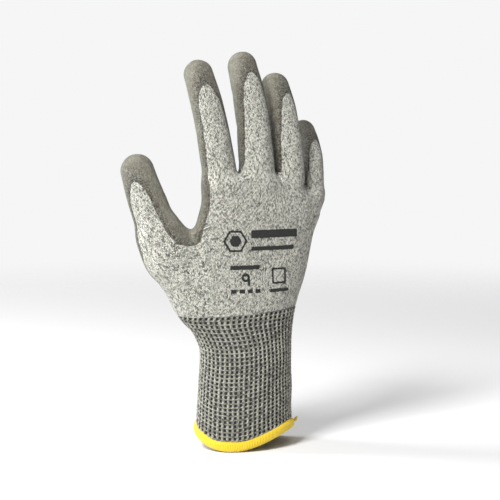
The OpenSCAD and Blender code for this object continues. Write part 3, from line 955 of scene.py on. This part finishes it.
def fabric(name, skin, coated, stitches, nodes):
    """One piece of liner or film, with its material; it hides the CAD nodes it replaces."""
    values = {"edge": -skin.values["bare"], "palmward": skin.values["normal"][:, 1],
              "smoothed": smoothed_palm(skin.co)}
    piece = shell(name, skin, FILM_T if coated else KNIT_T, COATING if coated else KNIT,
                  stitches, values)
    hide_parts(*nodes)
    return piece


def make_digit(digit, knit, film):
    """A digit's pieces run from the middle of one bone to the middle of the next, each with a
    fold in its middle."""
    name = digit.name
    parts = (("base", "tip") if digit is THUMB else ("base", "mid", "tip"))
    old = {"base": ["root_fold", "proximal_liner"], "mid": ["knuckle_fold", "middle_liner"],
           "tip": ["end_fold", "tip_liner"]}
    old_film = {"base": "proximal_coating", "mid": "middle_coating", "tip": "tip_coating"}
    for j, part in enumerate(parts, start=1):
        pivot, ahead = digit.fold(j)
        bone = digit.lengths[j]
        last = j == len(parts)
        middle = digit.points[j] + digit.dirs[j] * bone / 2
        for coated, skin in ((False, knit), (True, film)):
            piece_skin = skin if last else skin.cut((middle - skin.co) @ digit.dirs[j])
            if coated:
                film = skin if last else skin.cut((skin.co - middle) @ digit.dirs[j])
                nodes, kind, slot_name = [old_film[part]], "film", "coating"
            else:
                knit = skin if last else skin.cut((skin.co - middle) @ digit.dirs[j])
                nodes, kind, slot_name = old[part], "knit", "liner_knit"
            piece = fabric(f"{name}_{part}_{kind}", piece_skin, coated,
                           digit_stitch(piece_skin.co, digit),
                           [f"{name}_{n}" for n in nodes])
            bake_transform(piece)


def make_hand():
    knit = skin_of_hand()
    film = film_of(knit)
    for digit in DIGITS:
        make_digit(digit, knit.cut(digit_zone(knit.co, digit)),
                   film.cut(digit_zone(film.co, digit)))
        knit = knit.cut(-digit_zone(knit.co, digit))
        film = film.cut(-digit_zone(film.co, digit))
    for name, skin, coated, slot_name, node in (
            ("hand_knit", knit, False, "liner_knit", "hand_liner"),
            ("palm_film", film, True, "coating", "palm_coating")):
        piece = fabric(name, skin, coated, hand_stitch(skin.co, coated), [node])
        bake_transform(piece)
    return knit


# ---- The size print on the back of the hand: plain marks and a size numeral ----
def bar(x, z, left, bottom, width, height, rounded=0.4):
    """Positive inside a bar with rounded corners."""
    dx = np.abs(x - left - width / 2) - width / 2 + rounded
    dz = np.abs(z - bottom - height / 2) - height / 2 + rounded
    outside = np.hypot(np.maximum(dx, 0), np.maximum(dz, 0))
    return rounded - outside - np.minimum(np.maximum(dx, dz), 0)


def hexagon(x, z, size):
    turns = [math.radians(30 + 60 * k) for k in range(6)]
    return size * math.cos(math.radians(30)) - np.max(
        [x * math.cos(t) + z * math.sin(t) for t in turns], axis=0)


# Left, bottom, width and height of the print's bars: two long, one short, one below the
# square, the numeral's stem, and a row of four.
PRINT_BARS = [(-3.4, 133, 32.4, 5), (-3.4, 125.2, 30, 2.6), (-17, 113.6, 19, 2.6),
              (8.5, 99, 14, 2), (-6.4, 103.6, 1.7, 5)]
PRINT_BARS += [(-17 + 5.2 * i, 99, 3.4, 2.4) for i in range(4)]
PRINT_LINE = 1.2


def print_field(p):
    """Positive inside the print's marks, in mm."""
    x, z = p[:, 0], p[:, 2]
    badge, kernel = (hexagon(x + 13.6, z - 131.3, size) for size in (7.6, 3.8))
    square = bar(x, z, 10.5, 104, 10, 10)
    numeral_ring = 0.85 - np.abs(np.hypot(x + 7.5, z - 108.6) - 1.95)
    outlines = [np.minimum(shape, PRINT_LINE - shape) for shape in (badge, square)]
    bars = [bar(x, z, *sizes) for sizes in PRINT_BARS]
    return np.max([kernel, numeral_ring, *outlines, *bars], axis=0)


def make_print(knit):
    field = print_field(knit.co)
    on_back = knit.co[:, 1] < -6
    skin = knit.split_fine(((field > -3) & on_back)[knit.tri].any(1))
    skin = skin.split_fine((print_field(skin.co) > -2)[skin.tri].any(1))
    skin = skin.cut(print_field(skin.co) + 0.12 * waves(skin.co, 1.6, 9))
    skin.values["at"] = skin.values["at"] + skin.values["normal"] * 0.1
    piece = shell("size_print_marks", skin, 0.3, INK, hand_stitch(skin.co, False), {})
    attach(piece, "hand")
    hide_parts("size_print")


# ---- The ribbed cuff: chains of light yarn, the gaps between them painted dark as shade ----
CHAINS = 54
RIB_COURSES = 32
CUFF_A, CUFF_B = 31.5, 23
# How far the rib starts above the hem's lower edge, and ends above the hand's lower edge.
HEM_HIDE, CUFF_TUCK = 1.6, 2.6
# The hem's section: half its thickness, half its height and the height of its middle.
HEM_OUT, HEM_UP, HEM_MIDDLE = 1.85, 3.05, 3.2
# Height, middle x, middle y, half width and half depth of the cuff; the top is the hand's.
CUFF = [(0, 0, 0, CUFF_A, CUFF_B), (10, 0, 0, CUFF_A, CUFF_B), (22, 0, 0, 31, 23),
        (40, 0.5, 0, 30.4, 22.7)] + [row[:5] for row in PALM[:5]]


def wave(angle):
    """Rise of the hem at an angle round the cuff."""
    return 5 * (1 - np.cos(2 * (angle + math.radians(35))))


def even_angles(count):
    """Angles that share out the cuff's outline evenly; 0 is the middle of its back."""
    fine = np.linspace(0, 2 * math.pi, 2881)
    length = np.concatenate([[0], np.cumsum(np.hypot(
        CUFF_A * np.diff(np.sin(fine)), CUFF_B * np.diff(np.cos(fine))))])
    return np.interp(np.arange(count) / count * length[-1], length, fine)


def grid_faces(rows, columns):
    """Four-sided faces of a tube of points, row after row; the last row meets the first."""
    r, c = np.meshgrid(np.arange(rows), np.arange(columns), indexing="ij")
    r2, c2 = (r + 1) % rows, (c + 1) % columns
    return np.stack([r * columns + c, r * columns + c2, r2 * columns + c2,
                     r2 * columns + c], -1).reshape(-1, 4)


def halved(faces):
    """Each four-sided face as two triangles."""
    return np.concatenate([faces[:, [0, 1, 2]], faces[:, [0, 2, 3]]])


def grid_normals(co, faces):
    return point_normals(co, halved(faces))


def cuff_base(angle, z):
    """Points of the smooth cuff, drawn onto the hand's surface near the wrist."""
    xc, yc, a, b = along(z, CUFF).T
    co = np.stack([xc + a * np.sin(angle), yc - b * np.cos(angle), z], 1)
    upper = z > 58
    for _ in range(3):
        value, slope = slope_of(co[upper], glove_field)
        slope[:, 2] = 0
        move = np.clip(value / np.maximum((slope * slope).sum(1), 0.2), -3, 3)
        co[upper] -= (move * ramp(z[upper], 58, 72))[:, None] * slope
    return co


def rib_shape(p, q):
    """How far the rib stands proud of the smooth cuff, and each gap's mask for painted shade."""
    across = np.abs(p - np.floor(p) - 0.5)
    rise = np.abs(q - np.floor(q) - 0.5)
    chain_top = 1 - ramp(across, 0.1, 0.36)
    loops = np.abs(np.sin(math.pi * q)) * chain_top
    gap = ramp(across, 0.22, 0.32) * (1 - ramp(rise, 0.26, 0.38))
    return 0.5 * chain_top + 0.16 * loops - 0.55 * gap, gap


def cuff_grid(columns, rows, low):
    """Angles, heights and rib places of a grid of points on the cuff."""
    angle = even_angles(columns)
    share = np.linspace(0, 1, rows)
    top = cuff_line(CUFF_A * np.sin(angle)) + CUFF_TUCK
    z = low + (top - low) * share[:, None]
    hem = HEM_HIDE + wave(angle)
    q = (z - hem) / (top - CUFF_TUCK - hem) * RIB_COURSES
    p = np.broadcast_to(np.arange(columns) / columns * CHAINS, z.shape)
    return np.broadcast_to(angle, z.shape), z, p, q, top


def tube_with_lining(name, base, surface, rows, columns, thickness, material, stitch, values):
    """A closed wall: the detailed surface outside, and a coarse copy of the base inside."""
    normal = grid_normals(base, grid_faces(rows, columns)[:-columns])
    inner_rows = np.linspace(rows - 1, 0, 9).astype(int)
    inner = (base - normal * thickness).reshape(rows, columns, 3)[inner_rows].reshape(-1, 3)
    co = np.concatenate([surface, inner])
    faces = grid_faces(rows + len(inner_rows), columns)

    def lined(v):
        return np.concatenate([v, v.reshape(rows, columns, *v.shape[1:])[inner_rows]
                               .reshape(-1, *v.shape[1:])])

    place = near_seam(lined(stitch)[faces], CHAINS)
    piece = blender_mesh(name, co, faces, grid_normals(co, faces), material,
                         {k: lined(v) for k, v in values.items()}, {"stitch": place})
    keep_places(piece, lined(base))
    return piece


def make_cuff():
    per_chain, rows = ((8, 228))
    columns = CHAINS * per_chain
    angle, z, p, q, top = cuff_grid(columns, rows, HEM_HIDE + wave(even_angles(columns)))
    base = cuff_base(angle.ravel(), z.ravel())
    normal = grid_normals(base, grid_faces(rows, columns)[:-columns])
    rib, gap = rib_shape(p, q)
    under = ramp(top - z, 3.4, 1.6)
    lift = (rib + 0.25 * waves(base, 24, 7).reshape(rib.shape)) * (1 - under) - 1.1 * under
    lift = lift * (1 - ramp(z - wave(angle), 5.5, 3.5))     # flat inside the hem
    surface = base + normal * lift.reshape(-1, 1)
    stitch = np.stack([p.ravel(), q.ravel()], 1)
    # The gaps' mask goes to the rib material as painted shade.
    piece = tube_with_lining("cuff_rib_knit", base, surface, rows, columns, KNIT_T, RIB, stitch,
                             {"dark": (gap * (1 - under)).ravel()})
    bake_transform(piece)
    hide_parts("rib_cuff", "wrist_rib")
    return angle, z, base, normal, surface, stitch, rows, columns


def make_cuff_film(angle, z, base, normal, surface, stitch, rows, columns):
    """The coating on the cuff's palm side: half as ribbed as the knit, with a soft edge."""
    tri = halved(grid_faces(rows, columns)[:-columns])
    from_palm = np.degrees(np.abs(math.pi - angle)).ravel()
    low = 40 + 52 * ramp(from_palm, 38, 98) + 1.6 * waves(base, 12, 11)
    bare = low - z.ravel()
    soft = base + 0.5 * (surface - base)
    skin = Skin(base, tri, at=soft, normal=normal, bare=bare, stitch=stitch).cut(-bare)
    depth = -skin.values["bare"]
    lift = -0.35 + 0.75 * ramp(depth, 0, 2.5)
    skin.values["at"] = skin.values["at"] + skin.values["normal"] * lift[:, None]
    skin.values["normal"] = point_normals(skin.values["at"], skin.tri)
    piece = shell("cuff_palm_film", skin, 0.4, RIB_FILM,
                  [(skin.values["stitch"], CHAINS, depth)],
                  {"edge": depth})
    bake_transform(piece)
    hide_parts("cuff_coating")


def circle(count):
    return np.arange(count) / count * 2 * math.pi


def thread_mesh(name, material, co, faces, turns):
    piece = blender_mesh(name, co, faces, grid_normals(co, faces), material, {"turns": turns}, {})
    keep_places(piece, co)
    return piece


def joined(parts):
    """The points, faces and turns of many threads as those of one."""
    cos, faces, turns = zip(*parts)
    starts = np.cumsum([0] + [len(co) for co in cos[:-1]])
    return (np.concatenate(cos), np.concatenate([f + n for f, n in zip(faces, starts)]),
            np.concatenate(turns))


def make_hem():
    """The overlocked hem: yarn wound round the cuff's edge."""
    around, section, wraps = 1360, 22, 170
    angle = even_angles(around)
    turn = circle(section)
    count = np.arange(around) / around * wraps
    a, t = np.meshgrid(angle, turn, indexing="ij")
    wound = count[:, None] + 1.1 * np.cos(t)
    thread = np.abs(np.sin(math.pi * wound))
    out = HEM_OUT * np.sign(np.cos(t)) * np.abs(np.cos(t)) ** 0.7 * (1 + 0.07 * thread) - 0.05
    soft = waves(np.stack([30 * np.sin(a).ravel(), 22 * np.cos(a).ravel(), 0 * a.ravel()], 1), 14, 4)
    up = (HEM_MIDDLE
          + HEM_UP * np.sign(np.sin(t)) * np.abs(np.sin(t)) ** 0.8 * (1 + 0.03 * thread))
    up = up + 0.18 * soft.reshape(a.shape) * (np.sin(t) > 0)
    co = np.stack([(CUFF_A + out) * np.sin(a), -(CUFF_B + out) * np.cos(a), wave(a) + up],
                  -1).reshape(-1, 3)
    piece = thread_mesh("hem_overlock", HEM_YARN, co, grid_faces(around, section)[:, ::-1],
                        wound.ravel())
    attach(piece, "cuff")
    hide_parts("overlock_hem")


def tube(path, radii, sides=10):
    """Points and faces of a tube along a path, closed to a point at both ends."""
    path = np.asarray(path, float)
    ahead = unit(np.gradient(path, axis=0))
    side = unit(np.cross(ahead, (0.3, 0.2, 0.93)))
    up = np.cross(ahead, side)
    turn = circle(sides)
    rings = path[:, None] + np.asarray(radii)[:, None, None] * (
        np.cos(turn)[None, :, None] * side[:, None] + np.sin(turn)[None, :, None] * up[:, None])
    return rings.reshape(-1, 3), grid_faces(len(path), sides)[:-sides]


def make_hem_tail():
    """The end of the overlock's thread chain: two twisted strands and a frayed tip."""
    side, out = math.radians(78), 1.5
    start = np.array([(CUFF_A + out) * math.sin(side), -(CUFF_B + out) * math.cos(side),
                      wave(side) + 4.2])
    t = np.linspace(0, 1, 40)
    parts = []
    for reach, lean in ((3.4, 0.0), (3.0, math.pi), (2.0, 2.0)):
        twist = lean + 9 * t
        bend = np.stack([1.0 + 1.5 * t, -0.6 * t, reach * t], 1)
        path = start + bend + 0.42 * np.stack([np.cos(twist), np.sin(twist), 0 * t], 1)
        radii = 0.62 * np.clip(1.05 - t ** 3, 0.02, 1) * np.clip(t * 12, 0.02, 1)
        parts.append((*tube(path, radii), np.repeat(6 * t, 10)))
    piece = thread_mesh("hem_thread_tail", HEM_YARN, *joined(parts))
    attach(piece, "cuff")
    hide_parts("hem_tail")


def make_elastic():
    """Elastic yarns laid in behind the rib, one coil after another."""
    first_z, pitch, radius, inside, around = 20.3, 5, 0.38, 1.75, 240
    angle, turn = even_angles(around), circle(8)
    out = np.stack([np.sin(angle), -np.cos(angle), 0 * angle], 1)
    up = np.array([0, 0, 1.0])
    parts = []
    for ring in range(7):
        z = np.full(around, first_z + pitch * ring) + 0.25 * np.sin(9 * angle + ring)
        xc, yc, a, b = along(z, CUFF).T
        centre = np.stack([xc + (a - inside) * np.sin(angle),
                           yc - (b - inside) * np.cos(angle), z], 1)
        rings = centre[:, None] + radius * (np.cos(turn)[None, :, None] * out[:, None]
                                            + np.sin(turn)[None, :, None] * up)
        turns = np.arange(around)[:, None] * 0.25 + turn[None] / math.pi
        parts.append((rings.reshape(-1, 3), grid_faces(around, 8)[:, ::-1], turns.ravel()))
    piece = thread_mesh("cuff_elastic_yarns", ELASTIC_YARN, *joined(parts))
    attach(piece, "cuff")
    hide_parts("cuff_elastic")


# ---- The studio ----
# Each lamp's name, place, size and power.
LAMPS = [("key", (-0.85, -0.5, 1.1), 0.45, 24), ("front", (-0.2, -0.9, 1.3), 0.8, 2.5),
         ("back", (-1.0, 0.75, 0.75), 0.5, 15)]
LAMP_AIM = (0.008, 0, 0.125)
FLOOR_GREY = 0.88
WORLD_LIGHT, WORLD_SEEN = 0.23, 0.92


def make_studio():
    scene = bpy.context.scene
    scene.view_settings.view_transform = "Standard"
    bpy.ops.mesh.primitive_plane_add(size=6, location=(0, 0, -0.0002))
    floor = bpy.context.object
    floor.name = "studio_floor"
    look = Look("studio floor", 0.9)
    place = look.node("ShaderNodeTexCoord", "Object", {})
    away = look.node("ShaderNodeVectorMath", "Value", {0: place}, operation="LENGTH")
    look.put(look.shader.inputs["Base Color"], (FLOOR_GREY, FLOOR_GREY, FLOOR_GREY, 1))
    look.put(look.shader.inputs["Alpha"], look.smooth(away, 1.3, 0.25))
    floor.data.materials.append(look.material)
    world = bpy.data.worlds.new("studio")
    scene.world = world
    world.use_nodes = True
    tree = world.node_tree
    tree.nodes["Background"].inputs[0].default_value = (1, 1, 1, 1)
    seen = tree.nodes.new("ShaderNodeLightPath").outputs["Is Camera Ray"]
    level = tree.nodes.new("ShaderNodeMapRange")
    level.inputs["To Min"].default_value = WORLD_LIGHT
    level.inputs["To Max"].default_value = WORLD_SEEN
    tree.links.new(seen, level.inputs["Value"])
    tree.links.new(level.outputs[0], tree.nodes["Background"].inputs[1])
    for name, place, size, energy in LAMPS:
        light = bpy.data.lights.new(name, "AREA")
        light.energy, light.size = energy, size
        lamp = bpy.data.objects.new(name, light)
        lamp.location = place
        scene.collection.objects.link(lamp)
        face(lamp, LAMP_AIM)


def face(obj, target):
    """Turns a lamp or camera to look at a point."""
    ahead = unit(np.asarray(target) - np.array(obj.location))
    azimuth = math.atan2(ahead[0], ahead[1])
    obj.rotation_euler = (math.pi / 2 + math.asin(ahead[2]), 0, -azimuth)


def make_camera(azimuth, elevation, distance, angle, aim):
    data = bpy.data.cameras.new("camera")
    data.angle = math.radians(angle)
    camera = bpy.data.objects.new("camera", data)
    a, e = math.radians(azimuth), math.radians(elevation)
    back = np.array([math.sin(a) * math.cos(e), -math.cos(a) * math.cos(e), math.sin(e)])
    camera.location = np.array(aim) + back * distance
    bpy.context.scene.collection.objects.link(camera)
    face(camera, aim)
    bpy.context.scene.camera = camera


make_print(make_hand())
make_cuff_film(*make_cuff())
make_hem()
make_hem_tail()
make_elastic()
make_studio()
make_camera(-25, 5, 0.9, 19.95, (0.004, 0, 0.124))
